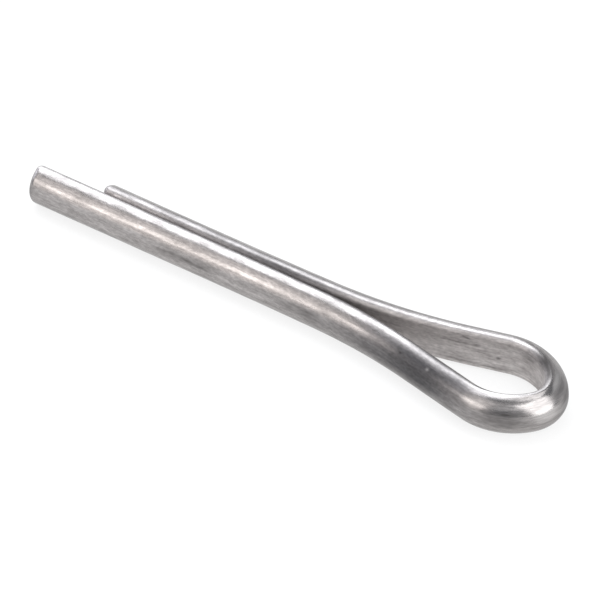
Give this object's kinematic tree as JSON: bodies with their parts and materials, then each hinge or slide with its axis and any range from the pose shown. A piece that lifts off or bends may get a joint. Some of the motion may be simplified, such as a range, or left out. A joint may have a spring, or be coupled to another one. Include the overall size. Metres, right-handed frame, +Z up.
{
  "type": "cotter pin",
  "caption": "Split cotter pin of half-round steel wire with a long looped eye and one leg longer than the other, to lock a drilled pin or a slotted nut.",
  "frame": {"origin": "on the surface that the pin lies on, under the centre of its outline", "axes": "+X along the legs from the tips to the eye, +Y across from the long leg to the short one, +Z up, square to the plane of the loop"},
  "size_m": [0.038, 0.0072, 0.0028],
  "materials": {
    "steel_wire": "bright drawn low-carbon steel, satin, with fine die lines along the wire and a few pits and scuffs"
  },
  "bodies": {
    "root": {"cotter_pin": "steel_wire"}
  },
  "joints": []
}
